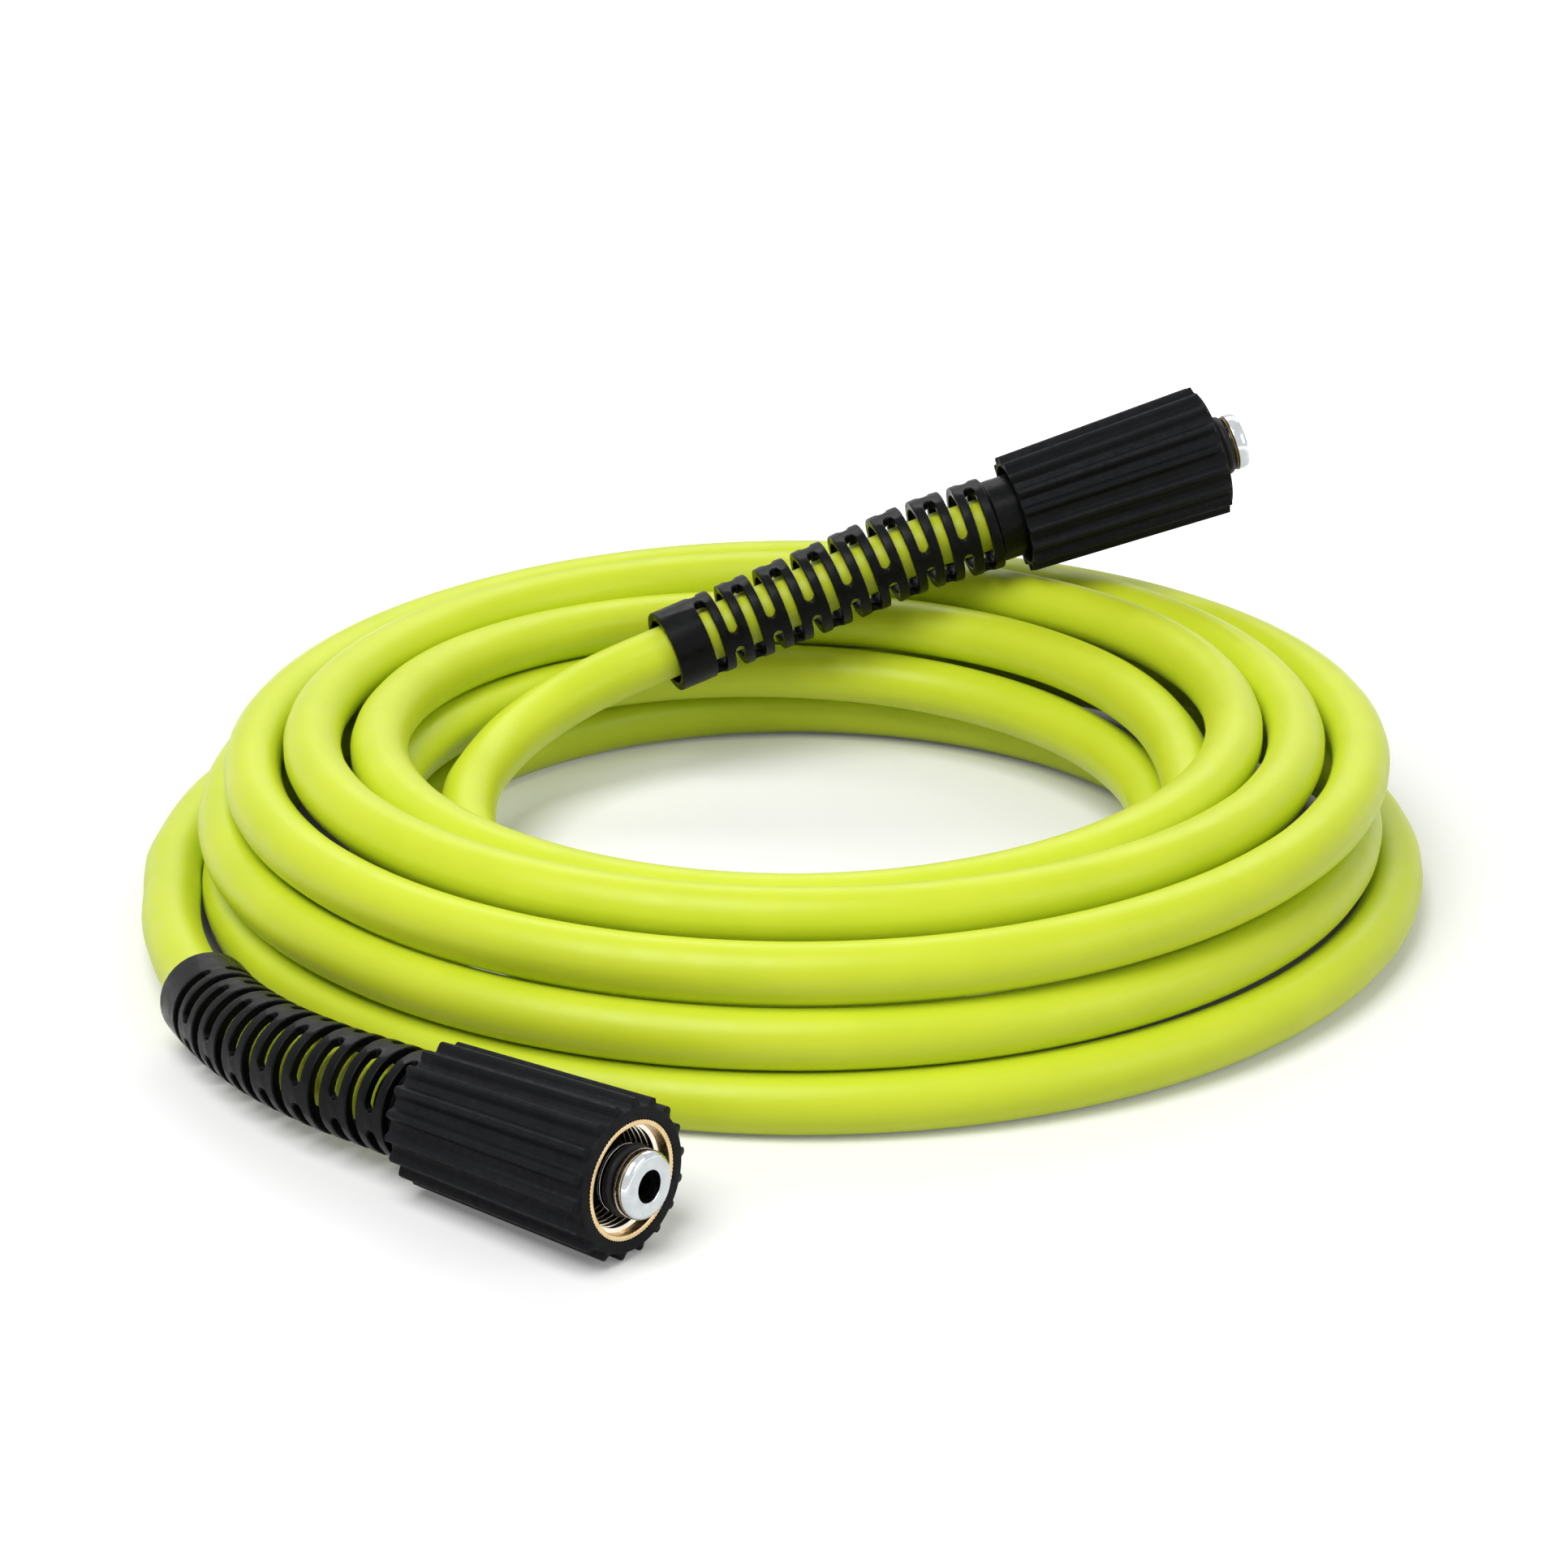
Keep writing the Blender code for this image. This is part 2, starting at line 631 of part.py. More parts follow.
def main():
    clear_scene()
    home = new_collection("coiled_pressure_hose")
    cutters = new_collection("cutters")
    hose_pvc = material("hose_pvc", (0.61, 0.73, 0.032), 0.38)
    black_nylon = material("black_nylon", (0.011, 0.011, 0.013), 0.35)
    black_grip = material("black_grip_plastic", (0.012, 0.012, 0.014), 0.6)
    plating = material("nickel_plating", (0.69, 0.71, 0.72), 0.15, 1.0)
    brass = material("brass", (0.58, 0.35, 0.125), 0.25, 1.0)
    steel = material("zinc_steel", (0.5, 0.5, 0.5), 0.35, 1.0)
    rubber = material("black_rubber", (0.009, 0.009, 0.009), 0.5)
    acetal = material("white_acetal", (0.75, 0.75, 0.72), 0.4)

    root = new_empty("assembly", home, None)
    coil, leads = hose_stretches()
    print("least gap of the coil to itself: %.2f mm" % least_gap_to_itself(coil_route()))
    coil_node = tube("hose_coil", coil, hose_pvc, home, root, COIL_BEVEL)
    floor = floor_cutter(cutters, root)
    cut(coil_node, floor)

    frames = {}
    for end, route in leads.items():
        frame = coupling_frame(end, home, root)
        frames[end] = frame
        cut(make_hose_lead(end, route, hose_pvc, home, root, cutters, frame), floor)
        make_nipple(end, plating, home, frame)
        make_seal(end, rubber, home, frame)
        make_ferrule(end, steel, home, frame)
        make_restrictor(end, route, black_nylon, home, root)
        make_washer(end, acetal, home, frame)
        make_nut(end, brass, home, frame)
        make_grip(end, black_grip, home, frame, cutters)
    centre_over_floor(root, home)
    report_places(frames, {"hose_coil": coil, **leads})


main()
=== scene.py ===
"""Looks of the coiled pressure-washer hose: the hose, both screw couplings, finishes and studio."""

import math
from collections import namedtuple

import bmesh
import bpy
import numpy as np
from mathutils import Matrix, Vector


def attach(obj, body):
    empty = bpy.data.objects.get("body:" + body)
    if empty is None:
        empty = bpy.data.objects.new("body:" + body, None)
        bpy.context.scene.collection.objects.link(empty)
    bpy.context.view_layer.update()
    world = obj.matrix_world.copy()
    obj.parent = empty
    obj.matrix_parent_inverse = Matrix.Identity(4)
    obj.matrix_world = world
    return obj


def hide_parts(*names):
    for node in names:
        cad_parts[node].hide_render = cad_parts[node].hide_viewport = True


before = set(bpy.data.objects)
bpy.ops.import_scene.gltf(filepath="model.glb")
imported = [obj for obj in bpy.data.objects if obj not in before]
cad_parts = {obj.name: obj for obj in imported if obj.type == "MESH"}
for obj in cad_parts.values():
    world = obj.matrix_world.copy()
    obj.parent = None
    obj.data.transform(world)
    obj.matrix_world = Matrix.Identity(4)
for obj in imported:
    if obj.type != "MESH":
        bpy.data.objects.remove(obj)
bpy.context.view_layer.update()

MM = 0.001
UP = Vector((0, 0, 1))
ENDS = ("front", "rear")

# Where the part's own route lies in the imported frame, in mm
ROUTE_SHIFT = np.array((2.95, 28.942, 0.0))

# Hose
HOSE_D = 13.2
HOSE_SIDES = 28
HOSE_POINT_SPACING = 3.0
STRETCH_SAMPLES = 8

# How the turns settle: the gap that they keep, the least distance that they are reckoned at, the
# number of rounds, and the share of an overlap that each round takes away
TURN_GAP = 0.06
TURN_NEAREST = 0.3
SETTLE_STEPS = 400
SETTLE_SHARE = 0.4
POINTS_PER_TURN = 24
STATIONS_PER_TURN = 4

# Where each turn lies in the bundle, as (radius, height of its middle) in mm, at the coil's
# left, back, right and front. The first turn is the outer one, which runs to the front coupling.
TURNS = (
    ((143.5, 6.6), (135.5, 6.6), (138.6, 8.0), (134.2, 6.8)),
    ((130.4, 6.6), (125.5, 19), (128.5, 19.6), (130.3, 19.2)),
    ((131, 20.6), (132, 30), (130, 34.6), (126, 32.1)),
    ((124.3, 33.0), (119, 36.6), (115.2, 37.6), (112, 38.5)),
    ((110.6, 38.3), (105.3, 38.3), (101, 39.7), (98, 35.5)),
    ((95.5, 36), (94, 31.5), (90, 29), (115, 7)),
    ((97, 6.6), (96, 7), (97, 7), (95, 9)),
    ((94, 22), (86, 20), (84, 15.5), (81, 15)),
    ((75.5, 20), (66, 30)),
)
# Couplings: the middle of the nose's end face and a point further back on the same axis, in mm
COUPLING_ENDS = {
    "front": ((-28.2, -191.8, 16.7), (-68.1, -159.1, 15.2)),
    "rear": ((111, 99.5, 76.5), (46, 85, 58.7)),
}
# Middles of the two free stretches, from the coil to the coupling's straight part, in mm
LEAD_ROUTES = {
    "front": (
        (-141.8, -26, 7),
        (-138.8, -48, 8.2),
        (-132.4, -73, 9.8),
        (-122, -100, 11.6),
        (-109.5, -120.5, 12.9),
    ),
    "rear": (
        (-73.3, 19.5, 19.8),
        (-65.2, 37.8, 23),
        (-50, 53.5, 28),
        (-25.5, 65, 35.4),
        (2.5, 73.8, 44.6),
    ),
}

# Sizes along a coupling are measured back from its nose, in mm
HOSE_END = 41.6
STRAIGHT_MARKS = (86.2, 73.0, 54.0, HOSE_END)

# Turned pieces: a small edge, the steps that round a corner, and the angle past which an edge is sharp
EDGE = 0.3
CORNER_STEPS = 4
SHARP_ANGLE = math.radians(35)
# Places nearer than this count as one
TOUCH = 0.03

# Nipple with its O-ring
NIPPLE_SIDES = 96
NOSE_D = 14.0
NOSE_ROUND = 1.6
NOSE_PLATED = 3.0
NOSE_LAND = 3.6
NOSE_BAND_D = 13.5
SEAL_GROOVE_D = 9.4
SEAL_GROOVE = 3.2
SEAL_STOP = 0.6
SEAL_CORD_D = 2.4
SEAL_CORD_SIDES = 24
SEAL_MIDDLE_D = 12.4
SEAL_SIDES = 72
SHANK_D = 13.2
FLANGE = (24.0, 27.5)
FLANGE_D = 18.0
NECK_D = 11.0
TAIL = (39.0, 66.0)
TAIL_D = 7.6
WATERWAY_D = 5.0
WATERWAY_MOUTH_D = 6.6
WATERWAY_MOUTH = 6.0

# Brass nut with an M22 x 1.5 thread, and the ribbed grip over it, measured back from the rim
NUT_SET_BACK = {"front": 4.6, "rear": 8.0}
NUT_D = 24.5
NUT_TEETH = 96
NUT_TOOTH = 0.22
NUT_RIM_D = 22.2
NUT_LEAD_IN = 2.6
NUT_LENGTH = 28.0
NUT_WEB = 3.0
NUT_WEB_HOLE_D = 12.0
THREAD_ROOT_D = 22.0
THREAD_CREST_D = 20.4
THREAD_PITCH = 1.5
THREAD_CREST = 0.7
THREAD_ROOT = 0.06
THREAD_SUNK = 0.15
THREAD_TURNS = 14
THREAD_STEPS = 64
GRIP_LENGTH = 52.0
GRIP_FRONT_D = 29.5
GRIP_REAR_D = 26.3
GRIP_BORE_D = 25.0
GRIP_LIP_D = 24.6
GRIP_SHOULDER = (28.3, 31.3)
GRIP_SHOULDER_D = 23.8
GRIP_RIBS = 18
GRIP_RIB_HEIGHT = 1.7
GRIP_RIB_STEPS = 16
# Where a rib meets the valley and how wide its rounded flank is, as shares of the ribs' spacing
GRIP_RIB_FOOT = 0.34
GRIP_RIB_FLANK = 0.28
# The ribs rise this far behind the rim, over a slope of this length
GRIP_RIB_FRONT = 0.4
GRIP_RIB_SLOPE = 0.5

# Bend restrictor: where its collar and its first slot start, then rings with staggered bridges
# and a solid rear ring
RESTRICTOR_PLACE = {"front": (43.0, 58.0), "rear": (45.0, 69.0)}
RESTRICTOR_WALL = 2.1
RESTRICTOR_COLLAR_D = 20.4
RESTRICTOR_FRONT_D = 23.0
RESTRICTOR_REAR_D = 20.4
RESTRICTOR_RINGS = 14
RESTRICTOR_RING = 2.45
RESTRICTOR_SLOT = 2.7
RESTRICTOR_REAR = 9.6
RESTRICTOR_STEP = 0.4
RESTRICTOR_EDGE = 0.35
RESTRICTOR_EDGE_STEPS = 2
RESTRICTOR_EDGE_ANGLE = math.radians(50)
BRIDGE_WIDTH = 3.8
# Steps round a quarter of the sleeve, of which a bridge takes the first few
QUARTER_STEPS = 9
BRIDGE_STEPS = 2
# Rows across a slot, as shares of half its width, close enough to round its ends
SLOT_ROWS = (-1.0, -0.72, 0.0, 0.72, 1.0)
Row = namedtuple("Row", "back diameter slot share")

# Cloudy noise: its detail, and the middle range that most of its values lie in
CLOUD_DETAIL = 2.0
CLOUD_RANGE = (0.3, 0.7)

# Finishes. A tone wanders between two colours and a roughness between two values, each in patches of
# a size in mm. A grain has a size and a depth in mm, and is drawn coarser than the real one, which
# would be too fine to show. The shader's values are the same all over the surface.
METAL = {"tone_patch": 2.5, "gloss_patch": 1.2, "shader": {"Metallic": 1.0}}
FINISHES = {
    # Extruded soft PVC: a satin skin with faint clouding and uneven gloss
    "lime_pvc": {
        "tones": ("CFDF2B", "D6E433"),
        "tone_patch": 22.0,
        "roughness": (0.36, 0.46),
        "gloss_patch": 6.0,
        "grain": (0.9, 0.02),
        "shader": {"Specular IOR Level": 0.36},
    },
    # Plastic from a grained mould: matte black, with a few pale flecks
    "black_grip_plastic": {
        "tones": ("0D0E10", "131417"),
        "tone_patch": 4.0,
        "flecks": {"tone": "55575B", "spacing": 1.1, "reach": (0.03, 0.06)},
        "roughness": (0.48, 0.66),
        "gloss_patch": 1.5,
        "grain": (0.35, 0.05),
        "shader": {"Specular IOR Level": 0.1},
    },
    # Nylon from a polished mould: glossy black, a little duller in patches
    "black_nylon": {
        "tones": ("08090A", "0D0E0F"),
        "tone_patch": 7.0,
        "roughness": (0.22, 0.4),
        "gloss_patch": 3.0,
        "grain": (0.8, 0.02),
        "shader": {"Specular IOR Level": 0.09},
    },
    # Moulded nitrile rubber: black with a faint sheen
    "black_rubber": {
        "tones": ("101011", "19191A"),
        "tone_patch": 2.0,
        "roughness": (0.4, 0.55),
        "gloss_patch": 1.0,
        "shader": {"Specular IOR Level": 0.2},
    },
    # Turned acetal: off-white and slightly waxy
    "white_acetal": {
        "tones": ("D9D8D2", "E4E3DE"),
        "tone_patch": 3.0,
        "roughness": (0.35, 0.5),
        "gloss_patch": 1.0,
    },
    # Nickel plate on a turned nose: cool and almost a mirror
    "nickel_plating": {
        **METAL,
        "tones": ("BFC4C8", "D0D4D7"),
        "roughness": (0.08, 0.16),
        "grain": (0.8, 0.004),
    },
    # Turned brass: warm and satin
    "brass": {
        **METAL,
        "tones": ("DDBE8A", "E6CC9E"),
        "roughness": (0.22, 0.32),
        "grain": (0.3, 0.006),
    },
    # Bare brass behind the plating, dulled by handling: brown and low in gloss
    "worn_brass": {
        **METAL,
        "tones": ("54462D", "6E5C3B"),
        "roughness": (0.3, 0.45),
        "grain": (0.3, 0.01),
    },
    # Thread flanks that face the mouth: a painted highlight, pale and bright
    "painted_highlight_brass": {
        **METAL,
        "tones": ("F0E6D2", "F6F0E3"),
        "roughness": (0.14, 0.22),
        "grain": (0.5, 0.004),
    },
    # Drilled waterway, deep and unlit: painted shade, dull and almost black
    "painted_shade_bore": {
        **METAL,
        "tones": ("14110D", "1D1812"),
        "roughness": (0.6, 0.8),
        "grain": (0.5, 0.01),
    },
    # Cut brass deep in the thread, which little light reaches: painted shade, dark brown
    "shaded_brass": {
        **METAL,
        "tones": ("3A2C1A", "4A3A24"),
        "roughness": (0.4, 0.55),
        "grain": (0.5, 0.01),
    },
    # Crimped steel, blackened, and kept dark as painted shade where it shows behind the grip: dull
    # grey-black
    "blackened_steel_painted_shade": {
        **METAL,
        "tones": ("1C1D1F", "26272A"),
        "roughness": (0.35, 0.5),
        "grain": (0.6, 0.01),
    },
}
# The finishes of the two pieces that have more than one, and where each of them lies
NIPPLE_FINISHES = ("nickel_plating", "worn_brass", "painted_shade_bore")
PLATED, WORN, IN_WATERWAY = range(len(NIPPLE_FINISHES))
NUT_FINISHES = ("brass", "painted_highlight_brass", "shaded_brass")
TURNED, PAINTED_HIGHLIGHT, IN_THREAD = range(len(NUT_FINISHES))

# The sockets of a Mix node that take and give colours
MIX_FIRST = 6
MIX_SECOND = 7
MIX_RESULT = 2

# Camera, found from the coil's ellipse in the photo
CAMERA_PLACE = (0.00044, -0.92198, 0.40090)
CAMERA_PITCH = 21.63
CAMERA_LENS = 101.35
SENSOR_WIDTH = 36.0

# Floor in metres: its tone to the camera and to scattered light, and a glow that rises to white
# between two distances from the middle
WHITE = (1.0, 1.0, 1.0, 1.0)
FLOOR_SIZE = 12.0
FLOOR_ROUGHNESS = 0.9
FLOOR_TONE = 0.88
FLOOR_BOUNCE = 0.65
FLOOR_LIFT = 0.15
FLOOR_FADE = (0.2, 0.5)
# Painted shadow: the floor is drawn darker under the coil, between these two shares of its reach on the
# floor
COIL_MIDDLE = (0.0005, 0.0289, 0.0)
COIL_REACH = (0.141, 0.1352, 1.0)
UNDER_COIL = (0.70, 0.985)
UNDER_COIL_FADE = 0.03
PAINTED_SHADOW_SHARE = 0.1

# Light of the room, and each lamp's place, width and height in metres, and power in watts
ROOM_LIGHT = 0.2
LAMP_TARGET = (0.0, 0.0, 0.03)
LAMPS = {
    "key": ((-0.35, -0.55, 1.1), (0.8, 0.8), 12.6),
    "fill": ((0.9, -0.5, 0.55), (0.6, 0.6), 2.4),
    "back": ((0.1, 0.9, 0.9), (1.2, 0.5), 4.8),
}


def smooth_through(points, samples):
    """A smooth curve through the points, as an array with so many samples to each stretch."""
    ends = [2 * points[0] - points[1], *points, 2 * points[-1] - points[-2]]
    share = np.linspace(0, 1, samples, endpoint=False)[:, None]
    rise = 3 * share**2 - 2 * share**3
    curve = []
    for before, start, end, after in zip(ends, ends[1:], ends[2:], ends[3:]):
        tangent_in = (end - before) / 2
        tangent_out = (after - start) / 2
        curve.append(
            start * (1 - rise)
            + end * rise
            + tangent_in * (share**3 - 2 * share**2 + share)
            + tangent_out * (share**3 - share**2)
        )
    return np.vstack([*curve, points[-1]])


def settle(places):
    """Moves turns apart where they press into each other, at each angle round the coil."""
    places = places.copy()
    pitch = HOSE_D + TURN_GAP
    for _ in range(SETTLE_STEPS):
        shift = np.zeros_like(places)
        for turns_apart in range(1, len(TURNS)):
            step = turns_apart * POINTS_PER_TURN
            apart = places[step:] - places[:-step]
            distance = np.linalg.norm(apart, axis=1)[:, None]
            push = np.maximum(0, pitch - distance) * apart / np.maximum(distance, TURN_NEAREST)
            shift[step:] += push
            shift[:-step] -= push
        spread = shift.copy()
        spread[1:-1] = (shift[:-2] + 2 * shift[1:-1] + shift[2:]) / 4
        places += SETTLE_SHARE * spread
        places[:, 1] = np.maximum(places[:, 1], HOSE_D / 2)
    return places


def coil_route():
    """The middle of the coiled stretch: clockwise from above, from the left of the first turn."""
    stations = np.array([place for turn in TURNS for place in turn], float)
    places = settle(smooth_through(stations, POINTS_PER_TURN // STATIONS_PER_TURN))
    places = places[: (len(TURNS) - 1) * POINTS_PER_TURN + 1]
    angle = np.arange(len(places)) * 2 * math.pi / POINTS_PER_TURN
    return np.stack(
        [-places[:, 0] * np.cos(angle), places[:, 0] * np.sin(angle), places[:, 1]], axis=1
    )


def coupling_axis(end):
    """The middle of the nose's end face, and the direction out of it."""
    nose, back = (np.array(place, float) for place in COUPLING_ENDS[end])
    return nose, (nose - back) / np.linalg.norm(nose - back)


def lead_points(end):
    """The free stretch from the coil to the hose's end in the ferrule, with a straight last part."""
    nose, axis = coupling_axis(end)
    bent = [np.array(place, float) for place in LEAD_ROUTES[end]]
    return bent + [nose - axis * back for back in STRAIGHT_MARKS]


def run_lengths(route):
    """The length of the route up to each of its points."""
    return np.concatenate([[0], np.cumsum(np.linalg.norm(np.diff(route, axis=0), axis=1))])


def evenly(route, spacing):
    """The route's points an even spacing apart, with both ends kept."""
    gone = run_lengths(route)
    marks = np.linspace(0, gone[-1], round(gone[-1] / spacing) + 1)
    return np.stack([np.interp(marks, gone, route[:, i]) for i in range(3)], axis=1)


def hose_routes():
    """The whole hose from its front end to its rear end, and each end's own last stretch."""
    coil = coil_route()
    front = lead_points("front")
    rear = lead_points("rear")
    whole = smooth_through([*front[::-1], *coil, *rear], STRETCH_SAMPLES)
    first = len(front) * STRETCH_SAMPLES
    last = first + (len(coil) - 1) * STRETCH_SAMPLES
    return evenly(whole, HOSE_POINT_SPACING), {"front": whole[first::-1], "rear": whole[last:]}


def along(route, distance):
    """The point and direction at a distance back from the route's last point, in mm."""
    back = route[::-1]
    gone = run_lengths(back)
    marks = (distance, max(distance - HOSE_D / 2, 0), distance + HOSE_D / 2)
    at, ahead, behind = (
        Vector([np.interp(mark, gone, back[:, i]) for i in range(3)]) for mark in marks
    )
    return at, (ahead - behind).normalized()


def coupling_matrix(end):
    """From a coupling's own space, in mm with +Z out of its nose, to the frame in metres."""
    nose, axis = coupling_axis(end)
    out = Vector(axis)
    side = out.cross(UP).normalized()
    turn = Matrix((side, out.cross(side), out)).transposed().to_4x4()
    return Matrix.Scale(MM, 4) @ Matrix.Translation(nose + ROUTE_SHIFT) @ turn


def linear(code):
    """A colour from its sRGB hex code, as Blender's linear values."""
    shares = [int(code[i : i + 2], 16) / 255 for i in (0, 2, 4)]
    return (*(s / 12.92 if s <= 0.04045 else ((s + 0.055) / 1.055) ** 2.4 for s in shares), 1.0)


def connect(tree, node, inputs):
    """Links a node's inputs to other nodes' sockets, or sets them to values."""
    for name, value in inputs.items():
        if isinstance(value, bpy.types.NodeSocket):
            tree.links.new(value, node.inputs[name])
        else:
            node.inputs[name].default_value = value


def add(tree, kind, inputs, **settings):
    """A shader node of that kind, with its settings and inputs."""
    node = tree.nodes.new("ShaderNode" + kind)
    for name, value in settings.items():
        setattr(node, name, value)
    connect(tree, node, inputs)
    return node


def new_material(name):
    """A material with its tree, its shader, and the place on the piece that its patterns read."""
    made = bpy.data.materials.new(name)
    made.use_nodes = True
    tree = made.node_tree
    place = add(tree, "TexCoord", {}).outputs["Object"]
    return made, tree, tree.nodes["Principled BSDF"], place


def mottled(tree, place, patch, low, high):
    """A value that wanders between two others, in patches of about a size in mm."""
    cloud = add(tree, "TexNoise", {"Vector": place, "Scale": 1 / (patch * MM), "Detail": CLOUD_DETAIL})
    start, end = CLOUD_RANGE
    spread = {"From Min": start, "From Max": end, "To Min": low, "To Max": high}
    return add(tree, "MapRange", {"Value": cloud.outputs["Fac"], **spread}).outputs["Result"]


def flecked(tree, place, ground, tone, spacing, reach):
    """The ground colour with small dots of another tone, about a spacing in mm apart."""
    dots = add(tree, "TexVoronoi", {"Vector": place, "Scale": 1 / (spacing * MM)})
    start, end = reach
    spread = {"From Min": start, "From Max": end, "To Min": 1.0, "To Max": 0.0}
    share = add(tree, "MapRange", {"Value": dots.outputs["Distance"], **spread}).outputs["Result"]
    inputs = {"Factor": share, MIX_FIRST: ground, MIX_SECOND: linear(tone)}
    return add(tree, "Mix", inputs, data_type="RGBA").outputs[MIX_RESULT]


def make_finish(name):
    """A material from its entry in the list of finishes."""
    recipe = FINISHES[name]
    made, tree, shader, place = new_material(name)
    share = mottled(tree, place, recipe["tone_patch"], 0.0, 1.0)
    first, second = (linear(tone) for tone in recipe["tones"])
    inputs = {"Factor": share, MIX_FIRST: first, MIX_SECOND: second}
    colour = add(tree, "Mix", inputs, data_type="RGBA").outputs[MIX_RESULT]
    if "flecks" in recipe:
        colour = flecked(tree, place, colour, **recipe["flecks"])
    roughness = mottled(tree, place, recipe["gloss_patch"], *recipe["roughness"])
    connect(tree, shader, {"Base Color": colour, "Roughness": roughness, **recipe.get("shader", {})})
    if "grain" in recipe:
        size, depth = recipe["grain"]
        grit = add(tree, "TexNoise", {"Vector": place, "Scale": 1 / (size * MM), "Detail": CLOUD_DETAIL})
        raised = add(tree, "Bump", {"Height": grit.outputs["Fac"], "Distance": depth * MM})
        connect(tree, shader, {"Normal": raised.outputs["Normal"]})
    return made


def rounded(outline):
    """The outline's (radius, back, rounding) corners, each rounded off by its own amount."""
    places = [Vector(corner[:2]) for corner in outline]
    points = []
    for index, corner in enumerate(places):
        amount = outline[index][2]
        if not amount:
            points.append(corner)
            continue
        start = corner + (places[index - 1] - corner).normalized() * amount
        after = places[(index + 1) % len(places)]
        end = corner + (after - corner).normalized() * amount
        for step in range(CORNER_STEPS + 1):
            share = step / CORNER_STEPS
            points.append(start.lerp(corner, share).lerp(corner.lerp(end, share), share))
    return points


def spin_outline(shape, points, steps, turns=1, pitch=0.0):
    """Turns a closed outline of (radius, back) about the axis, as a ring or as a thread."""
    verts = [shape.verts.new((radius, 0, -back)) for radius, back in points]
    edges = [shape.edges.new(pair) for pair in zip(verts, verts[1:] + verts[:1])]
    made = bmesh.ops.spin(
        shape,
        geom=verts + edges,
        axis=UP,
        cent=(0, 0, 0),
        dvec=(0, 0, -pitch / steps),
        angle=2 * math.pi * turns,
        steps=steps * turns,
        use_merge=turns == 1,
    )
    if turns > 1:
        last = [item for item in made["geom_last"] if isinstance(item, bmesh.types.BMEdge)]
        for loop in (edges, last):
            bmesh.ops.contextual_create(shape, geom=loop)


def finished(node, way, shape, matrix, looks, body):
    """Makes the shape a piece in the frame, named for its CAD node and the way it was made."""
    name = node + "_" + way
    bmesh.ops.recalc_face_normals(shape, faces=shape.faces[:])
    shape.transform(matrix)
    mesh = bpy.data.meshes.new(name)
    shape.to_mesh(mesh)
    shape.free()
    mesh.shade_smooth()
    mesh.set_sharp_from_angle(angle=SHARP_ANGLE)
    for finish in looks:
        mesh.materials.append(finish)
    piece = bpy.data.objects.new(name, mesh)
    bpy.context.scene.collection.objects.link(piece)
    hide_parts(node)
    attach(piece, body)
    return piece


def make_nipple(end, finishes):
    """Plated nose with a seal groove, then shank, flange, neck and tail, with a waterway through."""
    groove_back = NOSE_LAND + SEAL_GROOVE
    outline = (
        (WATERWAY_MOUTH_D / 2, 0, EDGE),
        (NOSE_D / 2, 0, NOSE_ROUND),
        (NOSE_D / 2, NOSE_PLATED, EDGE / 2),
        (NOSE_BAND_D / 2, NOSE_PLATED + EDGE, 0),
        (NOSE_BAND_D / 2, NOSE_LAND, 0),
        (SEAL_GROOVE_D / 2, NOSE_LAND, 0),
        (SEAL_GROOVE_D / 2, groove_back, 0),
        (NOSE_D / 2, groove_back, EDGE / 2),
        (NOSE_D / 2, groove_back + SEAL_STOP, EDGE / 2),
        (SHANK_D / 2, groove_back + SEAL_STOP, 0),
        (SHANK_D / 2, FLANGE[0], 0),
        (FLANGE_D / 2, FLANGE[0], EDGE),
        (FLANGE_D / 2, FLANGE[1], EDGE),
        (NECK_D / 2, FLANGE[1], 0),
        (NECK_D / 2, TAIL[0], 0),
        (TAIL_D / 2, TAIL[0], 0),
        (TAIL_D / 2, TAIL[1], 0),
        (WATERWAY_D / 2, TAIL[1], 0),
        (WATERWAY_D / 2, WATERWAY_MOUTH, 0),
        (WATERWAY_MOUTH_D / 2, WATERWAY_MOUTH, 0),
    )
    shape = bmesh.new()
    spin_outline(shape, rounded(outline), NIPPLE_SIDES)
    for face in shape.faces:
        middle = face.calc_center_median()
        reach = middle.xy.length
        in_band = reach > SEAL_GROOVE_D / 2 and NOSE_PLATED < -middle.z < NOSE_LAND + EDGE / 2
        # The waterway's bore gets painted shade; the band behind the plating is worn brass; the rest is
        # plated
        if reach < WATERWAY_MOUTH_D / 2 - TOUCH:
            face.material_index = IN_WATERWAY
        else:
            face.material_index = WORN if in_band else PLATED
    looks = [finishes[name] for name in NIPPLE_FINISHES]
    return finished(end + "_nipple", "turned", shape, coupling_matrix(end), looks, "hose")


def make_seal(end, finishes):
    """O-ring of round cord in the nose's groove."""
    shape = bmesh.new()
    middle = NOSE_LAND + SEAL_GROOVE / 2
    around = [step * 2 * math.pi / SEAL_CORD_SIDES for step in range(SEAL_CORD_SIDES)]
    reach = SEAL_CORD_D / 2
    points = [
        (SEAL_MIDDLE_D / 2 + reach * math.cos(angle), middle + reach * math.sin(angle))
        for angle in around
    ]
    spin_outline(shape, points, SEAL_SIDES)
    looks = [finishes["black_rubber"]]
    return finished(end + "_o_ring", "moulded", shape, coupling_matrix(end), looks, "hose")


def cut_teeth(shape):
    """Draws every second row of the nut's outside in, which leaves fine teeth all round."""
    step = math.pi / NUT_TEETH
    for vert in shape.verts:
        reach = vert.co.xy.length
        if reach > NUT_D / 2 - EDGE and round(math.atan2(vert.co.y, vert.co.x) / step) % 2:
            vert.co.xy *= (reach - NUT_TOOTH) / reach


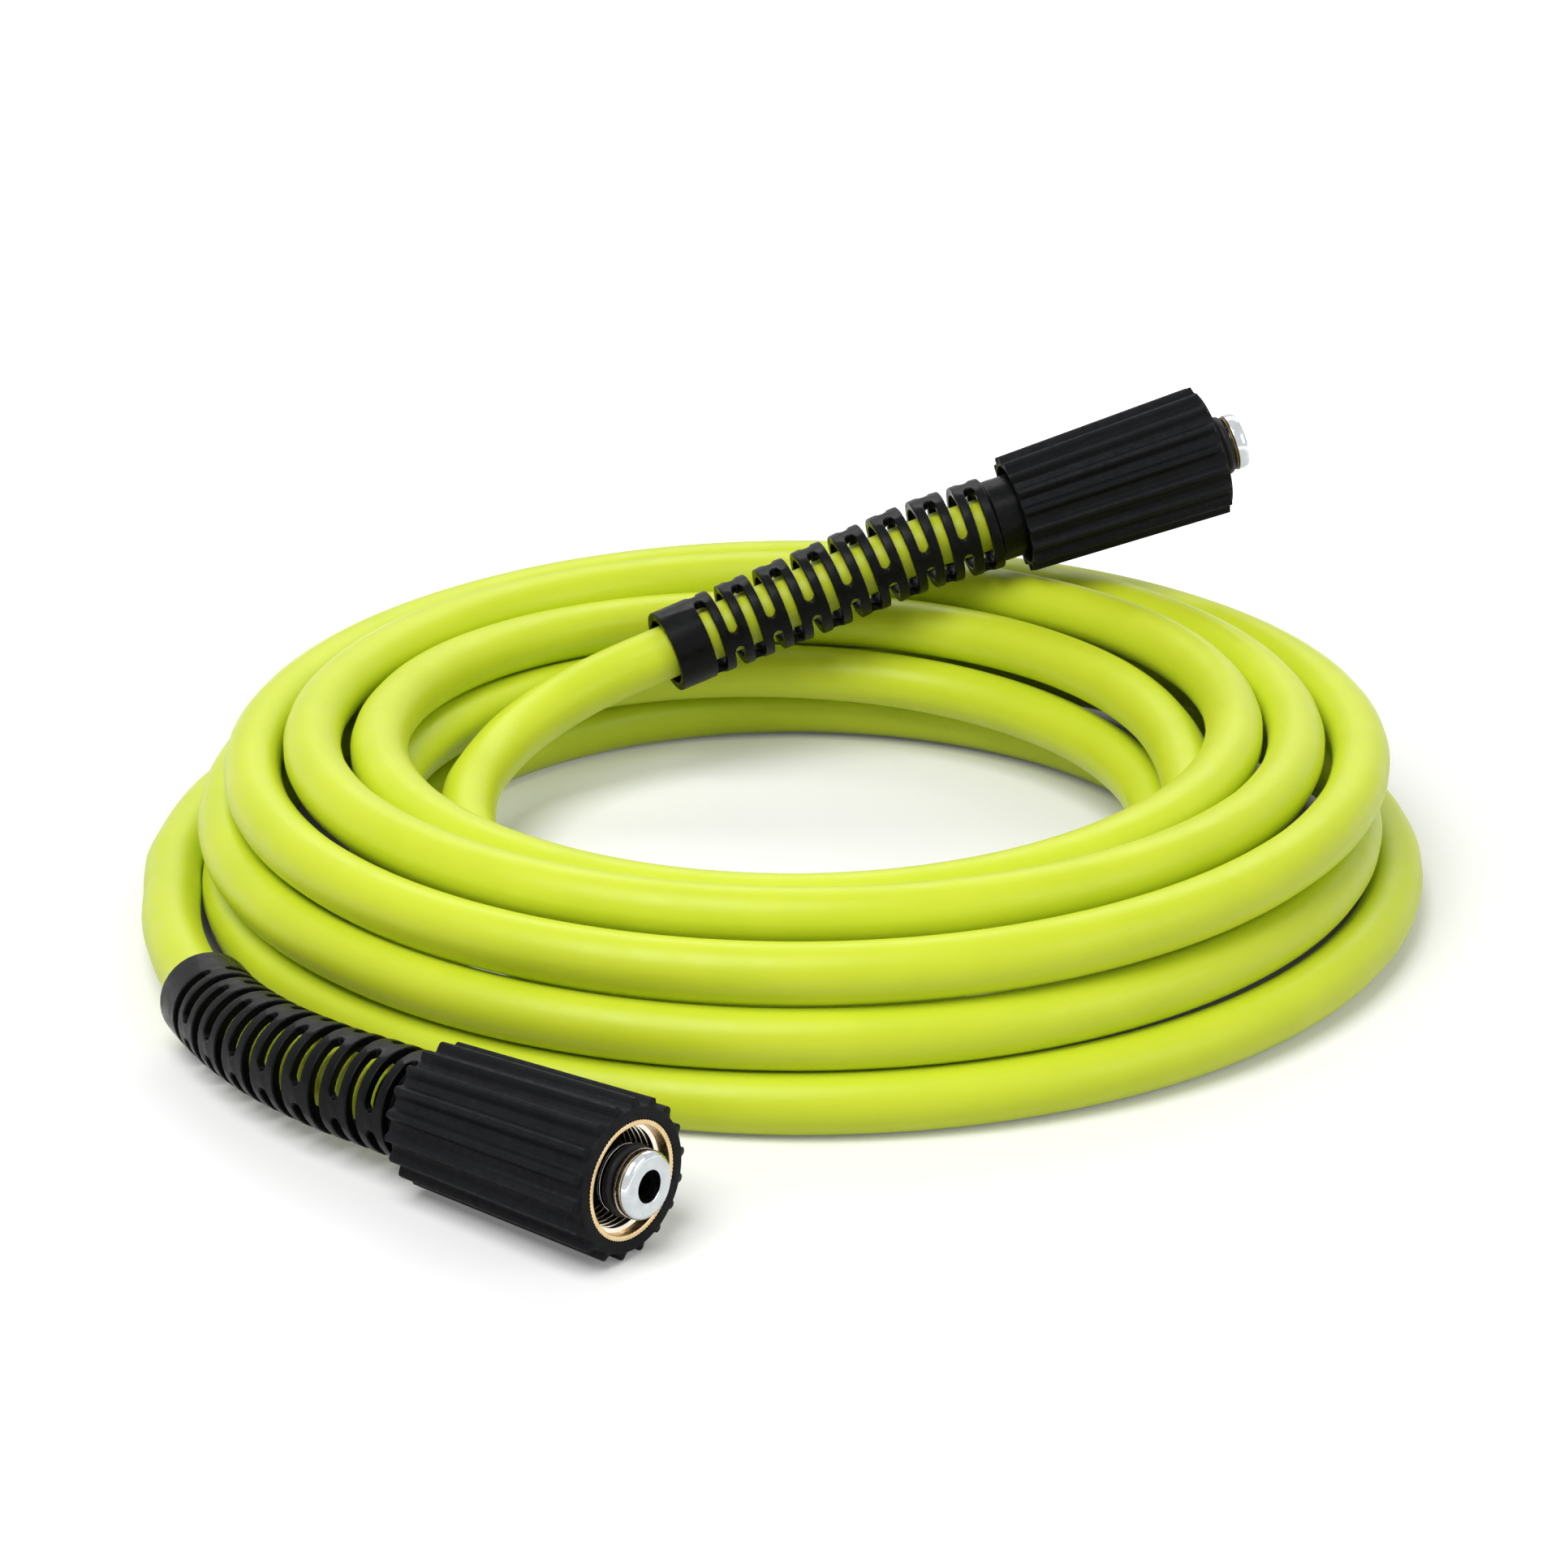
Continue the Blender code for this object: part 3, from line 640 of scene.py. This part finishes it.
def cut_thread(shape, rim):
    """A helical ridge on the nut's bore, with a painted highlight on the flanks that face the mouth and
    painted shade on the rest.
    """
    plain = set(shape.faces)
    start = rim + NUT_LEAD_IN - THREAD_PITCH / 2
    flank = (THREAD_PITCH - THREAD_ROOT - THREAD_CREST) / 2
    root = THREAD_ROOT_D / 2 + THREAD_SUNK
    ridge = (
        (root, start),
        (THREAD_CREST_D / 2, start + flank),
        (THREAD_CREST_D / 2, start + flank + THREAD_CREST),
        (root, start + 2 * flank + THREAD_CREST),
    )
    spin_outline(shape, ridge, THREAD_STEPS, THREAD_TURNS, THREAD_PITCH)
    halfway = (THREAD_CREST_D / 2 + root) / 2
    for face in set(shape.faces) - plain:
        tops = [vert.co.z for vert in face.verts if vert.co.xy.length < halfway]
        feet = [vert.co.z for vert in face.verts if vert.co.xy.length > halfway]
        faces_mouth = tops and feet and max(feet) > max(tops)
        # Flanks that face the mouth get the painted highlight; crests and back flanks get painted shade
        face.material_index = PAINTED_HIGHLIGHT if faces_mouth else IN_THREAD


def make_nut(end, finishes):
    """The brass insert: serrated rim, lead-in cone, and a helical thread standing in the bore."""
    rim = NUT_SET_BACK[end]
    web = rim + NUT_LENGTH - NUT_WEB
    outline = (
        (NUT_RIM_D / 2, rim, EDGE),
        (NUT_D / 2, rim, EDGE / 2),
        (NUT_D / 2, rim + NUT_LENGTH, 0),
        (NUT_WEB_HOLE_D / 2, rim + NUT_LENGTH, 0),
        (NUT_WEB_HOLE_D / 2, web, 0),
        (THREAD_ROOT_D / 2, web, 0),
        (THREAD_ROOT_D / 2, rim + NUT_LEAD_IN, 0),
    )
    shape = bmesh.new()
    spin_outline(shape, rounded(outline), 2 * NUT_TEETH)
    cut_teeth(shape)
    # The bore behind the lead-in gets painted shade; the rest is turned brass
    for face in shape.faces:
        middle = face.calc_center_median()
        in_bore = middle.xy.length < THREAD_ROOT_D / 2 and -middle.z > rim + NUT_LEAD_IN
        face.material_index = IN_THREAD if in_bore else TURNED
    cut_thread(shape, rim)
    node = end + "_coupling_nut"
    looks = [finishes[name] for name in NUT_FINISHES]
    return finished(node, "threaded", shape, coupling_matrix(end), looks, end + "_nut")


def rib_rise(angle):
    """How high a rib stands at an angle round the grip: 1 on its crest, 0 in the valley."""
    from_crest = abs((angle * GRIP_RIBS / (2 * math.pi) + 0.5) % 1 - 0.5)
    share = min(1.0, max(0.0, (GRIP_RIB_FOOT - from_crest) / GRIP_RIB_FLANK))
    return share * share * (3 - 2 * share)


def make_grip(end, finishes):
    """Tapered sleeve, ribbed from just behind its rim to its rear, with a shoulder behind the nut."""
    rim = NUT_SET_BACK[end]
    outline = (
        (GRIP_LIP_D / 2, rim, EDGE),
        (GRIP_FRONT_D / 2, rim, EDGE),
        (GRIP_FRONT_D / 2, rim + GRIP_RIB_FRONT, 0),
        (GRIP_FRONT_D / 2, rim + GRIP_RIB_FRONT + GRIP_RIB_SLOPE, 0),
        (GRIP_REAR_D / 2, rim + GRIP_LENGTH, EDGE),
        (GRIP_BORE_D / 2, rim + GRIP_LENGTH, EDGE),
        (GRIP_BORE_D / 2, rim + GRIP_SHOULDER[1], 0),
        (GRIP_SHOULDER_D / 2, rim + GRIP_SHOULDER[1], 0),
        (GRIP_SHOULDER_D / 2, rim + GRIP_SHOULDER[0], 0),
        (GRIP_LIP_D / 2, rim + GRIP_SHOULDER[0], 0),
    )
    shape = bmesh.new()
    spin_outline(shape, rounded(outline), GRIP_RIBS * GRIP_RIB_STEPS)
    for vert in shape.verts:
        back = -vert.co.z - rim
        reach = vert.co.xy.length
        if back > GRIP_RIB_FRONT + GRIP_RIB_SLOPE / 2 and reach > GRIP_BORE_D / 2 + EDGE:
            rise = GRIP_RIB_HEIGHT * rib_rise(math.atan2(vert.co.y, vert.co.x))
            vert.co.xy *= (reach + rise) / reach
    looks = [finishes["black_grip_plastic"]]
    return finished(end + "_grip", "ribbed", shape, coupling_matrix(end), looks, end + "_nut")


def restrictor_columns():
    """Angles round the sleeve: in each quarter a bridge's edges and middle, then even steps."""
    half = BRIDGE_WIDTH / (RESTRICTOR_FRONT_D + RESTRICTOR_REAR_D) * 2
    free = np.linspace(half, math.pi / 2 - half, QUARTER_STEPS - 1)[:-1]
    quarter = [-half, 0.0, *free]
    return [turn * math.pi / 2 + angle for turn in range(4) for angle in quarter]


def restrictor_rows(end):
    """Rows from the collar's front to the rear: distance back, diameter, slot and place across it."""
    collar, slots = RESTRICTOR_PLACE[end]
    length = (RESTRICTOR_RINGS + 1) * RESTRICTOR_SLOT + RESTRICTOR_RINGS * RESTRICTOR_RING
    step = slots - RESTRICTOR_RING
    rows = [
        Row(collar, RESTRICTOR_COLLAR_D, None, 0),
        Row(step - RESTRICTOR_STEP, RESTRICTOR_COLLAR_D, None, 0),
        Row(step, RESTRICTOR_FRONT_D, None, 0),
    ]
    for slot in range(RESTRICTOR_RINGS + 1):
        middle = RESTRICTOR_SLOT / 2 + slot * (RESTRICTOR_SLOT + RESTRICTOR_RING)
        for share in SLOT_ROWS:
            back = middle + share * RESTRICTOR_SLOT / 2
            taper = (RESTRICTOR_REAR_D - RESTRICTOR_FRONT_D) * back / length
            rows.append(Row(slots + back, RESTRICTOR_FRONT_D + taper, slot, share))
    rows.append(Row(slots + length + RESTRICTOR_REAR, RESTRICTOR_REAR_D, None, 0))
    return rows


def bridged(slot, quarter):
    """Bridges cross a slot in every second quarter, and change places from slot to slot."""
    return slot is not None and quarter % 2 != slot % 2


def is_open(face, place, rows):
    """Whether a face of the grid lies in a slot, clear of its bridges."""
    row = min(place[vert][0] for vert in face.verts)
    quarter, step = divmod(min(place[vert][1] for vert in face.verts), QUARTER_STEPS)
    slot = rows[row].slot
    if slot is None or rows[row + 1].slot != slot:
        return False
    return step >= BRIDGE_STEPS or not bridged(slot, quarter)


def roll_up(place, rows, columns, route):
    """Rolls the grid round the hose's route, with the slots' ends rounded beside each bridge."""
    rings = []
    for row in rows:
        middle, axis = along(route, row.back - HOSE_END)
        side = axis.cross(UP).normalized()
        rings.append((middle, side, side.cross(axis), row.diameter / 2))
    for vert, (number, column) in place.items():
        middle, side, up, radius = rings[number]
        row = rows[number]
        angle = columns[column % len(columns)]
        quarter, step = divmod(column % len(columns), QUARTER_STEPS)
        if bridged(row.slot, quarter) and step in (0, BRIDGE_STEPS):
            rounding = RESTRICTOR_SLOT / 2 * (1 - math.sqrt(1 - row.share**2)) / radius
            angle += rounding if step else -rounding
        vert.co = middle + radius * (math.cos(angle) * side + math.sin(angle) * up)


def make_restrictor(end, route, finishes):
    """A grid rolled round the hose's route, its round-ended slots taken out, then thickened."""
    rows = restrictor_rows(end)
    columns = restrictor_columns()
    across = len(columns)
    down = len(rows) - 1
    shape = bmesh.new()
    bmesh.ops.create_grid(shape, x_segments=across, y_segments=down, size=1.0)
    place = {
        vert: (round((vert.co.y + 1) / 2 * down), round((vert.co.x + 1) / 2 * across))
        for vert in shape.verts
    }
    open_faces = [face for face in shape.faces if is_open(face, place, rows)]
    roll_up(place, rows, columns, route)
    bmesh.ops.delete(shape, geom=open_faces, context="FACES")
    bmesh.ops.remove_doubles(shape, verts=shape.verts[:], dist=TOUCH)
    node = end + "_bend_restrictor"
    to_frame = Matrix.Scale(MM, 4) @ Matrix.Translation(ROUTE_SHIFT)
    looks = [finishes["black_nylon"]]
    sleeve = finished(node, "slotted", shape, to_frame, looks, "hose")
    wall = sleeve.modifiers.new("wall", "SOLIDIFY")
    wall.thickness = RESTRICTOR_WALL * MM
    wall.offset = -1.0
    wall.use_even_offset = True
    edge = sleeve.modifiers.new("edge", "BEVEL")
    edge.width = RESTRICTOR_EDGE * MM
    edge.segments = RESTRICTOR_EDGE_STEPS
    edge.limit_method = "ANGLE"
    edge.angle_limit = RESTRICTOR_EDGE_ANGLE
    shading = sleeve.modifiers.new("shading", "WEIGHTED_NORMAL")
    shading.keep_sharp = True
    return sleeve


def make_hose(route, finishes):
    """The whole hose as one tube along its route, closed at the two ends inside the ferrules."""
    curve = bpy.data.curves.new("hose", "CURVE")
    curve.dimensions = "3D"
    curve.bevel_depth = HOSE_D / 2 * MM
    curve.bevel_resolution = HOSE_SIDES // 4 - 1
    curve.use_fill_caps = True
    curve.materials.append(finishes["lime_pvc"])
    spline = curve.splines.new("POLY")
    spline.points.add(len(route) - 1)
    for point, place in zip(spline.points, (route + ROUTE_SHIFT) * MM):
        point.co = (*place, 1.0)
    hose = bpy.data.objects.new("hose_whole", curve)
    bpy.context.scene.collection.objects.link(hose)
    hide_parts("hose_coil", "front_hose_lead", "rear_hose_lead")
    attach(hose, "hose")
    return hose


def kept_piece(node, finish):
    """A CAD node that stays in view, with its finish on it."""
    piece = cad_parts[node]
    piece.data.materials.clear()
    piece.data.materials.append(finish)
    return piece


def to_camera(tree, low, high):
    """A strength that is high to the camera and in reflections, and low to scattered light."""
    path = add(tree, "LightPath", {}).outputs
    seen = add(tree, "Math", {0: path["Is Camera Ray"], 1: path["Is Glossy Ray"]}, operation="ADD")
    inputs = {"Value": seen.outputs["Value"], "To Min": low, "To Max": high}
    return add(tree, "MapRange", inputs).outputs["Result"]


def painted_shadow_under_coil(tree, place):
    """The painted shadow on the floor, as a share: a ring under the coil gets little, the rest gets it
    all.
    """
    laid = {"Vector": place, "Location": COIL_MIDDLE, "Scale": COIL_REACH}
    on_coil = add(tree, "Mapping", laid, vector_type="TEXTURE").outputs["Vector"]
    away = add(tree, "VectorMath", {0: on_coil}, operation="LENGTH").outputs["Value"]
    inner, outer = UNDER_COIL
    sides = {}
    for edge, within, beyond in ((inner, 1.0, PAINTED_SHADOW_SHARE), (outer, PAINTED_SHADOW_SHARE, 1.0)):
        fade = {"From Min": edge - UNDER_COIL_FADE, "From Max": edge + UNDER_COIL_FADE}
        inputs = {"Value": away, **fade, "To Min": within, "To Max": beyond}
        sides[len(sides)] = add(tree, "MapRange", inputs).outputs["Result"]
    return add(tree, "Math", sides, operation="MAXIMUM").outputs["Value"]


def make_floor():
    """A pale floor that keeps the shadow, with a painted shadow in a ring under the coil, and fades to
    the white of the background round it.
    """
    bpy.ops.mesh.primitive_plane_add(size=FLOOR_SIZE)
    floor = bpy.context.object
    floor.name = "floor"
    made, tree, shader, place = new_material("pale_floor")
    # Painted shadow: the floor's tone and glow are both multiplied down in a ring under the coil
    light = painted_shadow_under_coil(tree, place)
    tone = to_camera(tree, FLOOR_BOUNCE, FLOOR_TONE)
    shaded = add(tree, "Math", {0: tone, 1: light}, operation="MULTIPLY").outputs["Value"]
    away = add(tree, "VectorMath", {0: place}, operation="LENGTH").outputs["Value"]
    start, end = FLOOR_FADE
    spread = {"From Min": start, "From Max": end, "To Min": FLOOR_LIFT, "To Max": 1.0}
    fade = add(tree, "MapRange", {"Value": away, **spread}).outputs["Result"]
    seen = {0: fade, 1: to_camera(tree, 0.0, 1.0)}
    glow = add(tree, "Math", seen, operation="MULTIPLY").outputs["Value"]
    lift = add(tree, "Math", {0: glow, 1: light}, operation="MULTIPLY").outputs["Value"]
    connect(tree, shader, {"Base Color": shaded, "Roughness": FLOOR_ROUGHNESS})
    connect(tree, shader, {"Emission Color": WHITE, "Emission Strength": lift})
    floor.data.materials.append(made)


def make_world():
    """White to the camera and in reflections, and an even soft light to everything else."""
    world = bpy.data.worlds.new("studio")
    bpy.context.scene.world = world
    world.use_nodes = True
    tree = world.node_tree
    strength = to_camera(tree, ROOM_LIGHT, 1.0)
    connect(tree, tree.nodes["Background"], {"Color": WHITE, "Strength": strength})


def add_lamp(name):
    """A soft box aimed at the coil's middle."""
    place, size, power = LAMPS[name]
    lamp = bpy.data.lights.new(name, "AREA")
    lamp.shape = "RECTANGLE"
    lamp.size, lamp.size_y = size
    lamp.energy = power
    made = bpy.data.objects.new(name, lamp)
    made.location = place
    made.rotation_euler = (Vector(LAMP_TARGET) - Vector(place)).to_track_quat("-Z", "Y").to_euler()
    bpy.context.scene.collection.objects.link(made)


def make_camera():
    """The camera, level from side to side and pitched down at the coil."""
    data = bpy.data.cameras.new("camera")
    data.lens = CAMERA_LENS
    data.sensor_width = SENSOR_WIDTH
    made = bpy.data.objects.new("camera", data)
    made.location = CAMERA_PLACE
    made.rotation_euler = (math.radians(90 - CAMERA_PITCH), 0, 0)
    bpy.context.scene.collection.objects.link(made)
    bpy.context.scene.camera = made


def make_studio():
    """Camera, background, floor and lamps."""
    bpy.context.scene.view_settings.view_transform = "Standard"
    make_camera()
    make_world()
    make_floor()
    for name in LAMPS:
        add_lamp(name)


def make_coupling(end, route, finishes):
    """All the pieces of one end's coupling, with its bend restrictor."""
    return [
        make_nipple(end, finishes),
        make_seal(end, finishes),
        make_nut(end, finishes),
        make_grip(end, finishes),
        make_restrictor(end, route, finishes),
        # The ferrule's dark steel is partly painted shade
        kept_piece(end + "_ferrule", finishes["blackened_steel_painted_shade"]),
        kept_piece(end + "_slip_washer", finishes["white_acetal"]),
    ]


def main():
    route, leads = hose_routes()
    make_studio()
    finishes = {name: make_finish(name) for name in FINISHES}
    hose = make_hose(route, finishes)
    couplings = {end: make_coupling(end, leads[end], finishes) for end in ENDS}


main()
